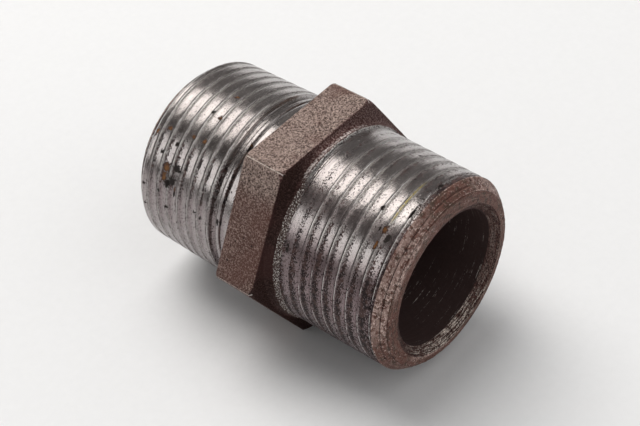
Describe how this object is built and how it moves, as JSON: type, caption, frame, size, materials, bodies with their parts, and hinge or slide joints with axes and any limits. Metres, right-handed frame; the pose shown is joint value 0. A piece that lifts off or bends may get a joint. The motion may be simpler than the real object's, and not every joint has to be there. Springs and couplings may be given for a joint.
{
  "type": "hex nipple",
  "caption": "Straight pipe coupling piece with a hexagonal wrench section between two male-threaded barrels and an open bore from end to end.",
  "frame": {"origin": "centre of the hexagon, on the pipe axis, which is also the centre of the part's box", "axes": "+X along the pipe axis towards the barrel without a relief groove, +Z out of the top wrench flat, +Y across the hexagon towards a corner"},
  "size_m": [0.0532, 0.0422, 0.0364],
  "materials": {
    "nipple_body": "machined bare steel on the barrels, matte brown forged skin on the hexagon and the end faces"
  },
  "bodies": {
    "root": {"nipple_body": "nipple_body"}
  },
  "joints": []
}
